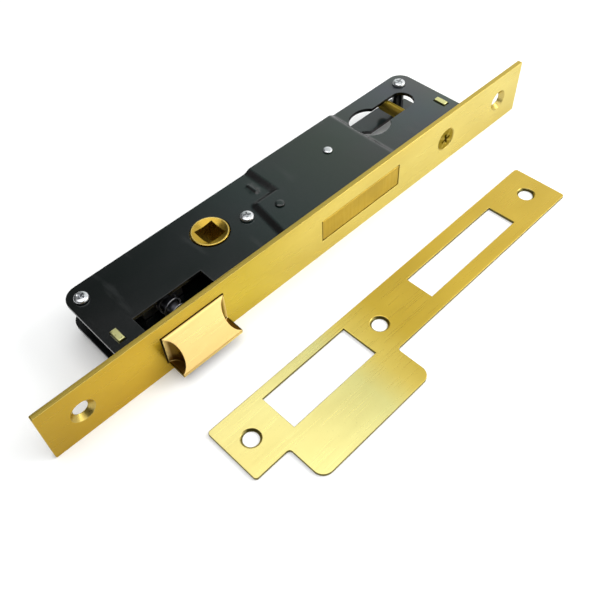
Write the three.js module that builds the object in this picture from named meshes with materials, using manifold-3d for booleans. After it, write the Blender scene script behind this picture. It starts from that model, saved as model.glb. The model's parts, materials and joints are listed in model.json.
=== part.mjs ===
// A narrow mortise lock for a euro cylinder, with its strike plate lying beside it.
// Millimetres. The origin is on the forend's outer face, level with the follower's axis.
// +X points out of the forend, +Y runs along it towards the cylinder hole, and +Z is
// square to the case's cover.

import * as THREE from "three";
import { mergeVertices } from "three/addons/utils/BufferGeometryUtils.js";
import Module from "manifold-3d";

const wasm = await Module();
wasm.setup();

// ---------------------------------------------------------------- driving dimensions

const GAP = 0.3; // clearance round anything that passes through a neighbour
const BACKSET = 25; // forend's face to the follower's and the cylinder's axis
const CENTRES = 85; // follower's axis to the cylinder's axis

const FOREND = { length: 240, width: 24, thick: 2, middle: 33, corner: 0.6, broken: 0.25 };
const FOREND_SCREWS = { y: [-73, 139], hole: 5.4, head: 9 };
const FOREND_CLEARANCE = 0.35; // round the latch and the deadbolt

const CASE = { back: -39, front: -2.3, low: -55, high: 119, corner: 6 };
const SHEET = 1.5; // thickness of the cover and the base plate
const ROOM = 5.1; // half the room between the two plates
const OUTSIDE = ROOM + SHEET; // half the thickness of the case
const PRESSED = 1.2; // height of the raised area over the deadbolt
const RAMP = 3.3; // width of the slope round the raised area
const PILLAR = 4.8; // half height of whatever stands between the plates

const CYLINDER = { hole: 17.2, slot: 10.4, reach: 24.7 };
const CYLINDER_SCREW = { below: 19, tip: -36, head: 9.4, shank: 5, flush: -0.15, sink: 10, hole: 6.2 };
const FOLLOWER = { hub: 14.4, flange: 16.4, half: 7.1, inner: 4.6, square: 8.1, bore: 15 };
const CAM = { reach: 15, tip: 2.1, half: 3.5 }; // lifts the tumbler and draws the deadbolt
const ARM = { reach: 13, root: 3.4 }; // draws the latch through its yoke

const LATCH = { y: -28.4, width: 25.8, out: 8.6, rear: -4.2, top: 6.2, bottom: -7.4, lip: 1.3 };
const LATCH_POCKET = { radius: 3.9, x: 4.5, floor: -6, past: 0.6 };
const LATCH_PIN = { x: -1.6, hole: 3.1 };
const LATCH_ROD = { radius: 2.5, neck: 1.7, tip: 1, socket: 2.8 };
const YOKE = { back: -30.5, front: -27.6, low: -3.6, high: 17.9, half: 4.2 };
const LATCH_GUIDE = { back: -26.5, front: -18.3, low: -37, high: -20, thick: 2 };
const LATCH_GUIDE_RIVETS = { x: -23.6, y: [-34.2, -22.6] };
const NOTCH = { low: -42.9, high: -14, back: -13.2 };

const BOLT = { low: 32.5, high: 74.5, half: 4.8, rear: -16 };
const BOLT_TRAVEL = 10;
const BOLT_RELIEF = { front: -11.5, low: 71.5 }; // clears the cylinder's cam
const BOLT_RIVETS = { x: -12.6, y: [41, 66], radius: 1.7 };
const TAIL = { low: -2.5, high: 0.5, back: -38, front: -9.3, bottom: 35, top: 72.3 };
const GUIDE = { x: -24, y: 59.5, radius: 2 };
const STUMP = { x: -32, y: 46, radius: 1.5 };
const TUMBLER = { low: 2.2, high: 4, back: -36, front: -19, bottom: 29, top: 71.5 };
const TUMBLER_LIFT = 2.5;

const FOLLOWER_SPRING = { x: -35.5, y: 2.9, outer: 4.4, wire: 0.55, length: 17.9, turns: 8 };
const LATCH_SPRING = { x: -4.5, outer: 8, wire: 0.7, length: 13.4, turns: 5 };
const TUMBLER_SPRING = { x: -29.5, outer: 3.4, wire: 0.45, length: 5.6, turns: 4 };

const SCREWS = [[-32.5, -50], [-20.5, 14], [-33, 112]];
const COVER_SCREW = { bore: 3, shank: 1.2, head: 2.7, tall: 1.4 };
const RIVET = [-16, 26.3];
const LUGS = { lower: { x: -11.1, y: -50.3, foot: 1 }, upper: { x: -12.2, y: 114.6, foot: -1 } };
const LUG = { thick: 2.4, tab: 5.4, body: 13.2, foot: 8.5, reach: 7.3 };
const SEAT = { back: -37.6, front: -27, y: 21.3, thick: 1.5, top: 4.8 };

const STRIKE = { x: 27.7, y: -48.2, yaw: 0.014, table: -12, thick: 1.2, length: 168, width: 23 };
const STRIKE_LIP = { from: 14.3, to: 66, out: 37.7 };
const STRIKE_LATCH = { from: 20.7, to: 59.7, low: 3.7, high: 18.6 };
const STRIKE_BOLT = { from: 91.8, to: 142.2, low: 5.4, high: 17.1 };
const STRIKE_SCREWS = { y: [8.5, 69.8, 158.3], hole: 5.6, head: 7 };

// ---------------------------------------------------------------- materials

function finish(color, roughness, metalness) {
  return { color, roughness, metalness };
}

const GILT = finish(0xd8b13a, 0.32, 1);
const BRASS = finish(0xb98f3e, 0.5, 1);
const LACQUER = finish(0x26292a, 0.45, 0);
const STEEL = finish(0x8d9194, 0.45, 1);
const ZINC = finish(0xd3d6d8, 0.25, 1);
const YELLOW_ZINC = finish(0xd9cf78, 0.35, 1);
const SPRING = finish(0x6f7478, 0.35, 1);

// ---------------------------------------------------------------- solids

function signedVolume(positions, triangles) {
  const [a, b, c] = [new THREE.Vector3(), new THREE.Vector3(), new THREE.Vector3()];
  let volume = 0;
  for (let i = 0; i < triangles.length; i += 3) {
    a.fromArray(positions, 3 * triangles[i]);
    b.fromArray(positions, 3 * triangles[i + 1]);
    c.fromArray(positions, 3 * triangles[i + 2]);
    volume += a.dot(b.cross(c)) / 6;
  }
  return volume;
}

// A closed three.js geometry as a manifold solid, with its faces turned outwards.
function toSolid(geometry) {
  const bare = geometry.clone();
  bare.deleteAttribute("normal");
  bare.deleteAttribute("uv");
  const merged = mergeVertices(bare);
  const positions = new Float32Array(merged.attributes.position.array);
  const triangles = [];
  const index = merged.index.array;
  for (let i = 0; i < index.length; i += 3) {
    const [a, b, c] = [index[i], index[i + 1], index[i + 2]];
    if (a !== b && b !== c && c !== a) {
      triangles.push(a, b, c);
    }
  }
  if (signedVolume(positions, triangles) < 0) {
    triangles.reverse();
  }
  const triVerts = new Uint32Array(triangles);
  return new wasm.Manifold(new wasm.Mesh({ numProp: 3, vertProperties: positions, triVerts }));
}

function toGeometry(solid) {
  const mesh = solid.getMesh();
  const geometry = new THREE.BufferGeometry();
  const positions = new Float32Array(mesh.vertProperties);
  geometry.setAttribute("position", new THREE.BufferAttribute(positions, 3));
  geometry.setIndex(new THREE.BufferAttribute(new Uint32Array(mesh.triVerts), 1));
  geometry.computeVertexNormals();
  return geometry;
}

// A copy of a solid, moved by a three.js matrix.
function placed(solid, matrix) {
  return toSolid(toGeometry(solid).applyMatrix4(matrix));
}

function join(first, ...others) {
  return others.reduce((whole, solid) => whole.add(solid), first);
}

function cut(body, ...tools) {
  return tools.reduce((rest, tool) => rest.subtract(tool), body);
}

function block(x0, x1, y0, y1, z0, z1) {
  const geometry = new THREE.BoxGeometry(x1 - x0, y1 - y0, z1 - z0);
  geometry.translate((x0 + x1) / 2, (y0 + y1) / 2, (z0 + z1) / 2);
  return toSolid(geometry);
}

function prism(shape, z0, z1, curveSegments = 12) {
  const geometry = new THREE.ExtrudeGeometry(shape, {
    depth: z1 - z0,
    bevelEnabled: false,
    curveSegments,
  });
  geometry.translate(0, 0, z0);
  return toSolid(geometry);
}

// A solid turned about Z through the origin, from [radius, height] pairs.
function turned(profile, segments = 24) {
  const points = profile.map(([radius, height]) => new THREE.Vector2(radius, height));
  const geometry = new THREE.LatheGeometry(points, segments);
  geometry.rotateX(Math.PI / 2);
  return toSolid(geometry);
}

// A plain round bar between two points, with its ends broken by a small chamfer.
function bar(radius, from, to, chamfer = 0, segments = 24) {
  const start = new THREE.Vector3(...from);
  const end = new THREE.Vector3(...to);
  const length = start.distanceTo(end);
  const profile = [[0, 0], [radius - chamfer, 0], [radius, chamfer]];
  profile.push([radius, length - chamfer], [radius - chamfer, length], [0, length]);
  const outline = chamfer > 0 ? profile : [[0, 0], [radius, 0], [radius, length], [0, length]];
  const points = outline.map(([across, along]) => new THREE.Vector2(across, along));
  const geometry = new THREE.LatheGeometry(points, segments);
  const direction = end.clone().sub(start).normalize();
  const turn = new THREE.Quaternion().setFromUnitVectors(new THREE.Vector3(0, 1, 0), direction);
  geometry.applyQuaternion(turn);
  geometry.translate(...from);
  return toSolid(geometry);
}

function hole(x, y, diameter, z0 = -12, z1 = 12, segments = 24) {
  return bar(diameter / 2, [x, y, z0], [x, y, z1], 0, segments);
}

function polygon(points) {
  return new THREE.Shape(points.map(([x, y]) => new THREE.Vector2(x, y)));
}

// A closed outline through [x, y, radius] corners, each one rounded by an arc.
function rounded(corners) {
  const shape = new THREE.Shape();
  const points = corners.map(([x, y]) => new THREE.Vector2(x, y));
  corners.forEach(([, , radius], i) => {
    const corner = points[i];
    const arriving = corner.clone().sub(points.at(i - 1)).normalize();
    const leaving = points[(i + 1) % points.length].clone().sub(corner).normalize();
    const turn = Math.atan2(arriving.cross(leaving), arriving.dot(leaving));
    const side = Math.sign(turn);
    const start = corner.clone().addScaledVector(arriving, -radius * Math.tan(Math.abs(turn) / 2));
    const inwards = new THREE.Vector2(-arriving.y, arriving.x).multiplyScalar(side * radius);
    const centre = start.clone().add(inwards);
    const angle = Math.atan2(start.y - centre.y, start.x - centre.x);
    shape.absarc(centre.x, centre.y, radius, angle, angle + turn, side < 0);
  });
  return shape;
}

function roundedRectangle(x0, x1, y0, y1, radius) {
  return rounded([[x0, y0, radius], [x1, y0, radius], [x1, y1, radius], [x0, y1, radius]]);
}

// A slot with round ends between two points.
function slot(x0, y0, x1, y1, radius) {
  const shape = new THREE.Shape();
  const along = Math.atan2(y1 - y0, x1 - x0);
  shape.absarc(x0, y0, radius, along + Math.PI / 2, along + 1.5 * Math.PI);
  shape.absarc(x1, y1, radius, along - Math.PI / 2, along + Math.PI / 2);
  return shape;
}

// A round coil spring along +Y from the origin, with its end turns closer together.
class Coil extends THREE.Curve {
  constructor(radius, length, turns) {
    super();
    this.radius = radius;
    this.length = length;
    this.turns = turns;
  }

  getPoint(t, target = new THREE.Vector3()) {
    const angle = 2 * Math.PI * this.turns * t;
    const along = this.length * (t - 0.4 * Math.sin(2 * Math.PI * t) / (2 * Math.PI));
    return target.set(this.radius * Math.cos(angle), along, this.radius * Math.sin(angle));
  }
}

function coilGeometry({ outer, wire, length, turns }) {
  const path = new Coil((outer - wire) / 2, length - wire, turns);
  const section = new THREE.Shape();
  section.absarc(0, 0, wire / 2, 0, 2 * Math.PI);
  const geometry = new THREE.ExtrudeGeometry(section, {
    extrudePath: path,
    steps: Math.round(turns * 12),
    curveSegments: 3,
    bevelEnabled: false,
  });
  geometry.translate(0, wire / 2, 0);
  return geometry;
}

function named(name, shape, look) {
  const geometry = shape instanceof THREE.BufferGeometry ? shape : toGeometry(shape);
  const mesh = new THREE.Mesh(geometry, new THREE.MeshStandardMaterial(look));
  mesh.name = name;
  return mesh;
}

// ---------------------------------------------------------------- forend and its lugs

// A flat strip with its edges broken, as a solid standing on the YZ plane behind x = 0.
function forend() {
  const half = FOREND.width / 2;
  const low = FOREND.middle - FOREND.length / 2;
  const high = FOREND.middle + FOREND.length / 2;
  const { broken } = FOREND;
  const outline = roundedRectangle(low, high, -half, half, FOREND.corner);
  const geometry = new THREE.ExtrudeGeometry(outline, {
    depth: FOREND.thick - 2 * broken,
    bevelThickness: broken,
    bevelSize: broken,
    bevelOffset: -broken,
    bevelSegments: 1,
    curveSegments: 3,
  });
  geometry.translate(0, 0, broken - FOREND.thick);
  geometry.applyMatrix4(new THREE.Matrix4().makeBasis(
    new THREE.Vector3(0, 1, 0),
    new THREE.Vector3(0, 0, 1),
    new THREE.Vector3(1, 0, 0),
  ));
  const clear = FOREND_CLEARANCE;
  const latchHalf = LATCH.width / 2 + clear;
  const openings = [
    block(-4, 1, LATCH.y - latchHalf, LATCH.y + latchHalf, LATCH.bottom - clear, LATCH.top + clear),
    block(-4, 1, BOLT.low - clear, BOLT.high + clear, -BOLT.half - clear, BOLT.half + clear),
    countersink(CENTRES + CYLINDER_SCREW.below, CYLINDER_SCREW.hole, CYLINDER_SCREW.sink),
    ...FOREND_SCREWS.y.map((y) => countersink(y, FOREND_SCREWS.hole, FOREND_SCREWS.head)),
  ];
  return cut(toSolid(geometry), ...openings);
}

// A countersunk hole through the forend at height y.
function countersink(y, through, mouth) {
  const depth = (mouth - through) / 2;
  const profile = [[0, -5], [through / 2, -5], [through / 2, -depth], [mouth / 2, 0]];
  const above = [[mouth / 2, 1], [0, 1]];
  const outwards = new THREE.Matrix4().makeRotationY(Math.PI / 2).setPosition(0, y, 0);
  return placed(turned([...profile, ...above], 40), outwards);
}

// An angle piece with one tab through each plate, and a foot against the forend's back.
function lug({ x, y, foot }) {
  const front = CASE.front;
  const far = y + foot * (LUG.foot - LUG.thick / 2);
  const near = y - foot * LUG.thick / 2;
  return join(
    block(front - LUG.body, front, y - LUG.thick / 2, y + LUG.thick / 2, -PILLAR, PILLAR),
    block(x - LUG.tab / 2, x + LUG.tab / 2, y - LUG.thick / 2, y + LUG.thick / 2, -LUG.reach, LUG.reach),
    block(front - LUG.thick, front, Math.min(near, far), Math.max(near, far), -PILLAR, PILLAR),
  );
}

// ---------------------------------------------------------------- cover and base plate

function raisedArea(lift) {
  const beyond = 10;
  const jog = -21.7;
  const outline = polygon([
    [CASE.back - beyond, 31.8],
    [jog, 31.8],
    [jog, 21.2],
    [CASE.front + beyond, 17.6],
    [CASE.front + beyond, 75.2],
    [CASE.back - beyond, 75.2],
  ]);
  const belt = 0.2;
  const geometry = new THREE.ExtrudeGeometry(outline, {
    depth: belt,
    bevelThickness: PRESSED,
    bevelSize: RAMP,
    bevelSegments: 1,
  });
  geometry.translate(0, 0, OUTSIDE - belt + lift);
  return toSolid(geometry);
}

function caseOutline(z0, z1) {
  const { back, front, low, high, corner } = CASE;
  const square = 0.5;
  const corners = [[back, low, corner], [front, low, square], [front, high, square], [back, high, corner]];
  return prism(rounded(corners), z0, z1, 5);
}

function cylinderHole() {
  const half = CYLINDER.slot / 2;
  const bottom = CENTRES + CYLINDER.reach - half;
  return join(
    hole(-BACKSET, CENTRES, CYLINDER.hole, -12, 12, 48),
    prism(slot(-BACKSET, CENTRES, -BACKSET, bottom, half), -12, 12),
  );
}

function lugSlots() {
  return Object.values(LUGS).map(({ x, y }) => block(
    x - LUG.tab / 2 - GAP,
    x + LUG.tab / 2 + GAP,
    y - LUG.thick / 2 - GAP,
    y + LUG.thick / 2 + GAP,
    -12,
    12,
  ));
}

// The pressed plate that lies on the +Z side, with the holes that both plates share.
function pressedPlate(postHole) {
  const pressed = join(caseOutline(ROOM, OUTSIDE), raisedArea(0).intersect(caseOutline(ROOM, 12)));
  return cut(
    pressed,
    raisedArea(-SHEET),
    hole(-BACKSET, 0, FOLLOWER.bore, -12, 12, 40),
    cylinderHole(),
    block(NOTCH.back, 0, NOTCH.low, NOTCH.high, -12, 12),
    ...lugSlots(),
    ...SCREWS.map(([x, y]) => hole(x, y, postHole)),
    hole(GUIDE.x, GUIDE.y, 3.4),
    hole(...RIVET, 3.2),
  );
}

function cover() {
  const rib = new THREE.ExtrudeGeometry(slot(-32.5, 25.6, -28, 25.6, 0.5), {
    depth: 0.2,
    bevelThickness: 0.5,
    bevelSize: 0.6,
    bevelSegments: 2,
    curveSegments: 4,
  });
  rib.translate(0, 0, OUTSIDE - 0.2);
  return join(pressedPlate(COVER_SCREW.bore), toSolid(rib));
}

// The base plate mirrors the cover, and has the lanced seat for the two small springs.
function basePlate() {
  const mirrored = placed(pressedPlate(3.8), new THREE.Matrix4().makeScale(1, 1, -1));
  const height = SEAT.top + ROOM;
  const window = block(SEAT.back, SEAT.front, SEAT.y - height, SEAT.y, -12, -4);
  const seat = block(SEAT.back, SEAT.front, SEAT.y, SEAT.y + SEAT.thick, -OUTSIDE, SEAT.top);
  const { x, y: places } = LATCH_GUIDE_RIVETS;
  const rivetHoles = places.map((y) => hole(x, y, 3, -12, 0));
  return cut(join(cut(mirrored, window), seat), ...rivetHoles);
}

// ---------------------------------------------------------------- posts, screws, rivets

function spacerPost() {
  const shank = 1.6;
  const rivetEnd = -OUTSIDE - 1.1;
  const solid = turned([
    [0, rivetEnd],
    [1.8, rivetEnd],
    [2.3, rivetEnd + 0.4],
    [2.3, -OUTSIDE - GAP],
    [shank, -OUTSIDE - GAP],
    [shank, -PILLAR],
    [2.5, -PILLAR],
    [2.5, PILLAR],
    [0, PILLAR],
  ]);
  return cut(solid, hole(0, 0, COVER_SCREW.bore, -1, 6, 16));
}

function crossRecess(arm, width, depth, top) {
  return join(
    block(-arm, arm, -width / 2, width / 2, top - depth, top + 1),
    block(-width / 2, width / 2, -arm, arm, top - depth, top + 1),
  );
}

function coverScrew() {
  const { shank, head, tall } = COVER_SCREW;
  const under = OUTSIDE + GAP;
  const top = under + tall;
  const solid = turned([
    [0, -0.5],
    [shank - 0.3, -0.5],
    [shank, -0.2],
    [shank, under],
    [head, under],
    [head, under + 0.3 * tall],
    [head - 0.35, under + 0.7 * tall],
    [0.6 * head, top - 0.08],
    [0, top],
  ]);
  return cut(solid, crossRecess(1.6, 0.8, 1, top));
}

// A pin riveted through both plates where they are raised.
function throughPin(radius, neck, head) {
  const inner = ROOM + PRESSED - GAP;
  const outer = OUTSIDE + PRESSED + GAP;
  const half = [
    [radius, inner],
    [neck, inner],
    [neck, outer],
    [head, outer],
    [head * 0.85, outer + 0.35],
    [head * 0.5, outer + 0.5],
    [0, outer + 0.5],
  ];
  const mirrored = half.map(([r, z]) => [r, -z]).reverse();
  return turned([...mirrored, ...half], 20);
}

// ---------------------------------------------------------------- follower

function follower() {
  const { reach, tip, half: thick } = CAM;
  const { root } = ARM;
  const cam = polygon([[-root, 0], [root - 0.2, 0], [tip, -reach], [-tip, -reach]]);
  const arm = polygon([[0, -root], [0, root], [-ARM.reach, tip], [-ARM.reach, -tip]]);
  const solid = join(
    bar(FOLLOWER.hub / 2, [0, 0, -FOLLOWER.half], [0, 0, FOLLOWER.half], 0.4, 40),
    bar(FOLLOWER.flange / 2, [0, 0, -FOLLOWER.inner], [0, 0, FOLLOWER.inner], 0, 40),
    prism(cam, -thick, thick),
    prism(arm, -thick, thick),
  );
  const half = FOLLOWER.square / 2;
  return cut(solid, block(-half, half, -half, half, -9, 9));
}

// ---------------------------------------------------------------- latch, centred on its rod

// The head's bevel faces +Z, and each end has a round pocket down to the bottom lip.
function latchHead() {
  const { out, rear, top, bottom, lip, width } = LATCH;
  const side = polygon([[rear, bottom], [out, bottom], [out, bottom + lip], [0.3, top], [rear, top]]);
  const half = width / 2;
  const upright = placed(prism(side, -half, half), new THREE.Matrix4().makeRotationX(Math.PI / 2));
  const { radius, x, floor, past } = LATCH_POCKET;
  const pocket = (y) => bar(radius, [x, y, floor], [x, y, top + 1], 0, 40);
  return cut(
    upright,
    pocket(half + past),
    pocket(-half - past),
    bar(LATCH_ROD.socket, [rear - 1, 0, 0], [LATCH_ROD.tip + GAP, 0, 0]),
    hole(LATCH_PIN.x, 0, LATCH_PIN.hole),
  );
}

function latchRod() {
  const { radius, neck, tip } = LATCH_ROD;
  const solid = join(
    bar(radius, [YOKE.front + GAP, 0, 0], [tip, 0, 0], 0.3),
    bar(neck, [YOKE.back, 0, 0], [YOKE.front + 1, 0, 0], 0.3),
  );
  return cut(solid, hole(LATCH_PIN.x, 0, LATCH_PIN.hole, -5, 5, 16));
}

function latchYoke() {
  const plate = block(YOKE.back, YOKE.front, YOKE.low, YOKE.high, -YOKE.half, YOKE.half);
  return cut(plate, bar(LATCH_ROD.neck + GAP, [YOKE.back - 1, 0, 0], [YOKE.front + 1, 0, 0]));
}

function latchGuide() {
  const { back, front, low, high, thick } = LATCH_GUIDE;
  const { x, y: places } = LATCH_GUIDE_RIVETS;
  const foot = 1.5;
  return cut(
    join(
      block(front - thick, front, low, high, -PILLAR, PILLAR),
      block(back, front, low, high, -PILLAR, foot - PILLAR),
    ),
    bar(LATCH_ROD.radius + GAP, [back - 1, LATCH.y, 0], [front + 1, LATCH.y, 0]),
    ...places.map((y) => hole(x, y, 3, -6, -2)),
  );
}

function guideRivet() {
  const low = -OUTSIDE - GAP;
  const high = -PILLAR + 1.5 + GAP;
  return turned([
    [0, low - 0.7],
    [1.5, low - 0.7],
    [2, low - 0.3],
    [2, low],
    [1.2, low],
    [1.2, high],
    [2, high],
    [1.7, high + 0.6],
    [0, high + 0.6],
  ], 16);
}

// ---------------------------------------------------------------- deadbolt and tumbler

// The head is slotted at the back for the tail, and its upper rear corner clears the cam.
function deadboltHead() {
  const { low, high, half, rear } = BOLT;
  const bevelled = new THREE.ExtrudeGeometry(roundedRectangle(rear, 0, low, high, 0.4), {
    depth: 2 * half - 0.6,
    bevelThickness: 0.3,
    bevelSize: 0.3,
    bevelOffset: -0.3,
    bevelSegments: 1,
    curveSegments: 2,
  });
  bevelled.translate(0, 0, 0.3 - half);
  return cut(
    toSolid(bevelled),
    block(rear - 1, -9, low - 1, high + 1, TAIL.low - GAP, TAIL.high + GAP),
    block(rear - 1, BOLT_RELIEF.front, BOLT_RELIEF.low, high + 1, -7, 7),
    ...BOLT_RIVETS.y.map((y) => hole(BOLT_RIVETS.x, y, 2 * BOLT_RIVETS.radius + 0.6, -7, 7, 16)),
  );
}

function deadboltTail() {
  const { low, high, back, front, bottom, top } = TAIL;
  const outline = polygon([
    [back, bottom],
    [front, bottom],
    [front, top],
    [-27, top],
    [-27.6, 68.5],
    [-32.4, 68.5],
    [-33, top],
    [back, top],
  ]);
  const guideSlot = slot(GUIDE.x - BOLT_TRAVEL, GUIDE.y, GUIDE.x, GUIDE.y, GUIDE.radius + 0.2);
  return cut(
    prism(outline, low, high),
    prism(guideSlot, low - 1, high + 1),
    hole(STUMP.x, STUMP.y, 2 * STUMP.radius + 0.6, -4, 2, 16),
    ...BOLT_RIVETS.y.map((y) => hole(BOLT_RIVETS.x, y, 2 * BOLT_RIVETS.radius + 0.6, -4, 2, 16)),
  );
}

function stumpPin() {
  const under = TAIL.low - GAP;
  return turned([
    [0, under - 0.8],
    [2.2, under - 0.8],
    [2.2, under],
    [STUMP.radius, under],
    [STUMP.radius, 4.2],
    [STUMP.radius - 0.3, 4.5],
    [0, 4.5],
  ], 16);
}

// The tumbler's gate is a window that the stump runs along as the deadbolt moves.
function tumbler() {
  const { low, high, back, front, bottom, top } = TUMBLER;
  const reach = STUMP.radius + 0.4;
  const gate = roundedRectangle(
    STUMP.x - reach,
    STUMP.x + BOLT_TRAVEL + reach,
    STUMP.y - reach,
    STUMP.y + TUMBLER_LIFT + reach,
    reach,
  );
  const guide = slot(GUIDE.x, GUIDE.y, GUIDE.x, GUIDE.y + TUMBLER_LIFT, GUIDE.radius + 0.3);
  return cut(
    prism(roundedRectangle(back, front, bottom, top, 1.5), low, high, 4),
    prism(gate, low - 1, high + 1, 6),
    prism(guide, low - 1, high + 1, 6),
  );
}

// ---------------------------------------------------------------- cylinder screw and strike

function cylinderScrew() {
  const { tip, head, shank, flush } = CYLINDER_SCREW;
  const under = -(head - shank) / 2;
  const solid = turned([
    [0, tip],
    [shank / 2 - 0.6, tip],
    [shank / 2, tip + 0.6],
    [shank / 2, under + flush],
    [head / 2, flush - 0.1],
    [head / 2, flush],
    [0, flush],
  ], 40);
  const driven = cut(solid, crossRecess(2.6, 1.1, 1.5, flush));
  return placed(driven, new THREE.Matrix4().makeRotationY(Math.PI / 2));
}

// The strike lies flat: x runs across it towards the lip, y along it, and its
// top face, where the screw heads go, is at z = 0.
function strikePlate() {
  const { length, width, thick } = STRIKE;
  const { from, to, out } = STRIKE_LIP;
  const corner = 1.2;
  const lipCorner = 4;
  const outline = rounded([
    [0, 0, corner],
    [width, 0, corner],
    [width, from, corner],
    [out, from, lipCorner],
    [out, to, lipCorner],
    [width, to, corner],
    [width, length, corner],
    [0, length, corner],
  ]);
  const bolt = STRIKE_BOLT;
  const latch = STRIKE_LATCH;
  return cut(
    prism(outline, -thick, 0, 4),
    block(latch.low, latch.high, latch.from, latch.to, -3, 1),
    block(bolt.low, bolt.high, bolt.from, bolt.to, -3, 1),
    ...STRIKE_SCREWS.y.map((y) => screwHole(width / 2, y)),
  );
}

function screwHole(x, y) {
  const through = STRIKE_SCREWS.hole / 2;
  const mouth = STRIKE_SCREWS.head / 2;
  const section = [[0, -3], [through, -3], [through, through - mouth], [mouth, 0], [mouth, 1], [0, 1]];
  const cone = turned(section, 32);
  return placed(cone, new THREE.Matrix4().makeTranslation(x, y, 0));
}

// ---------------------------------------------------------------- assembly

const lock = new THREE.Group();

const caseGroup = new THREE.Group();
lock.add(caseGroup);
caseGroup.add(named("forend", forend(), GILT));
caseGroup.add(named("lower_lug", lug(LUGS.lower), YELLOW_ZINC));
caseGroup.add(named("upper_lug", lug(LUGS.upper), YELLOW_ZINC));
caseGroup.add(named("cover", cover(), LACQUER));
caseGroup.add(named("base_plate", basePlate(), LACQUER));
SCREWS.forEach(([x, y], i) => {
  const post = named(`spacer_post_${i + 1}`, spacerPost(), LACQUER);
  const screw = named(`cover_screw_${i + 1}`, coverScrew(), ZINC);
  post.position.set(x, y, 0);
  screw.position.set(x, y, 0);
  caseGroup.add(post, screw);
});
const guidePin = named("guide_pin", throughPin(GUIDE.radius, 1.4, 1.9), ZINC);
guidePin.position.set(GUIDE.x, GUIDE.y, 0);
const caseRivet = named("case_rivet", throughPin(2.2, 1.3, 1.9), LACQUER);
caseRivet.position.set(...RIVET, 0);
caseGroup.add(guidePin, caseRivet);
caseGroup.add(named("latch_guide", latchGuide(), STEEL));
LATCH_GUIDE_RIVETS.y.forEach((y, i) => {
  const rivet = named(`latch_guide_rivet_${i + 1}`, guideRivet(), STEEL);
  rivet.position.set(LATCH_GUIDE_RIVETS.x, y, 0);
  caseGroup.add(rivet);
});

const screwGroup = new THREE.Group();
screwGroup.position.set(0, CENTRES + CYLINDER_SCREW.below, 0);
screwGroup.add(named("cylinder_screw", cylinderScrew(), BRASS));
lock.add(screwGroup);

const followerGroup = new THREE.Group();
followerGroup.position.set(-BACKSET, 0, 0);
followerGroup.add(named("follower", follower(), BRASS));
lock.add(followerGroup);

const followerSpring = named("follower_spring", coilGeometry(FOLLOWER_SPRING), SPRING);
followerSpring.position.set(FOLLOWER_SPRING.x, FOLLOWER_SPRING.y, 0);
lock.add(followerSpring);

const latchGroup = new THREE.Group();
latchGroup.position.set(0, LATCH.y, 0);
latchGroup.add(named("latch_head", latchHead(), GILT));
latchGroup.add(named("latch_rod", latchRod(), STEEL));
const latchPin = named("latch_pin", bar(1.25, [0, 0, -6.4], [0, 0, 6], 0.2, 16), STEEL);
latchPin.position.set(LATCH_PIN.x, 0, 0);
latchGroup.add(latchPin);
latchGroup.add(named("latch_yoke", latchYoke(), STEEL));
const latchSpring = named("latch_spring", coilGeometry(LATCH_SPRING), SPRING);
latchSpring.position.set(LATCH_SPRING.x, 0, 0);
latchSpring.rotation.set(0, 0, Math.PI / 2);
latchGroup.add(latchSpring);
lock.add(latchGroup);

const boltGroup = new THREE.Group();
boltGroup.add(named("deadbolt_head", deadboltHead(), BRASS));
boltGroup.add(named("deadbolt_tail", deadboltTail(), STEEL));
BOLT_RIVETS.y.forEach((y, i) => {
  const shank = bar(BOLT_RIVETS.radius, [0, 0, -4.5], [0, 0, 4.5], 0.2, 16);
  const rivet = named(`deadbolt_rivet_${i + 1}`, shank, STEEL);
  rivet.position.set(BOLT_RIVETS.x, y, 0);
  boltGroup.add(rivet);
});
const stump = named("stump_pin", stumpPin(), STEEL);
stump.position.set(STUMP.x, STUMP.y, 0);
boltGroup.add(stump);
lock.add(boltGroup);

lock.add(named("tumbler", tumbler(), STEEL));
const tumblerSpring = named("tumbler_spring", coilGeometry(TUMBLER_SPRING), SPRING);
const tumblerMiddle = (TUMBLER.low + TUMBLER.high) / 2;
tumblerSpring.position.set(TUMBLER_SPRING.x, SEAT.y + SEAT.thick + GAP, tumblerMiddle);
lock.add(tumblerSpring);

const strike = named("strike_plate", strikePlate(), GILT);
strike.position.set(STRIKE.x, STRIKE.y, STRIKE.table + STRIKE.thick);
strike.rotation.set(0, 0, STRIKE.yaw);
lock.add(strike);

export default lock;
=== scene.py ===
import json
import math

import bmesh
import bpy
from mathutils import Matrix, Vector


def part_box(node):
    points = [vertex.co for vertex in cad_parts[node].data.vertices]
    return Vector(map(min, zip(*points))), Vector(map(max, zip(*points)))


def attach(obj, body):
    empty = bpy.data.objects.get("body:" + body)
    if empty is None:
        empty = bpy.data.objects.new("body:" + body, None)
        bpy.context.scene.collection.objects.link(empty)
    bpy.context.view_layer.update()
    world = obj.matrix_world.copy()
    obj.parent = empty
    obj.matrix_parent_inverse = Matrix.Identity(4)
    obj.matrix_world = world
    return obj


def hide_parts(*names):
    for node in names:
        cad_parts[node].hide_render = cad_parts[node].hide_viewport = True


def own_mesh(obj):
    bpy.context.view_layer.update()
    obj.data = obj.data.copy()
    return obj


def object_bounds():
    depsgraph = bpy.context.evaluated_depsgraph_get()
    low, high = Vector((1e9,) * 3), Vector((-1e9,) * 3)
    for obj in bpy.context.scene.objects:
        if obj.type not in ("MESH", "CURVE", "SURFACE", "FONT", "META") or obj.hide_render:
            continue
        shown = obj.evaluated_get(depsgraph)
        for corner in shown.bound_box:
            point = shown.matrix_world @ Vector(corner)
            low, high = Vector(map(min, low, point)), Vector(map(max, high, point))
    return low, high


# A mortise lock lying on a white table with its strike plate beside it. Shapes are given
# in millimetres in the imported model's frame, and turned into metres as they are built.

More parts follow.
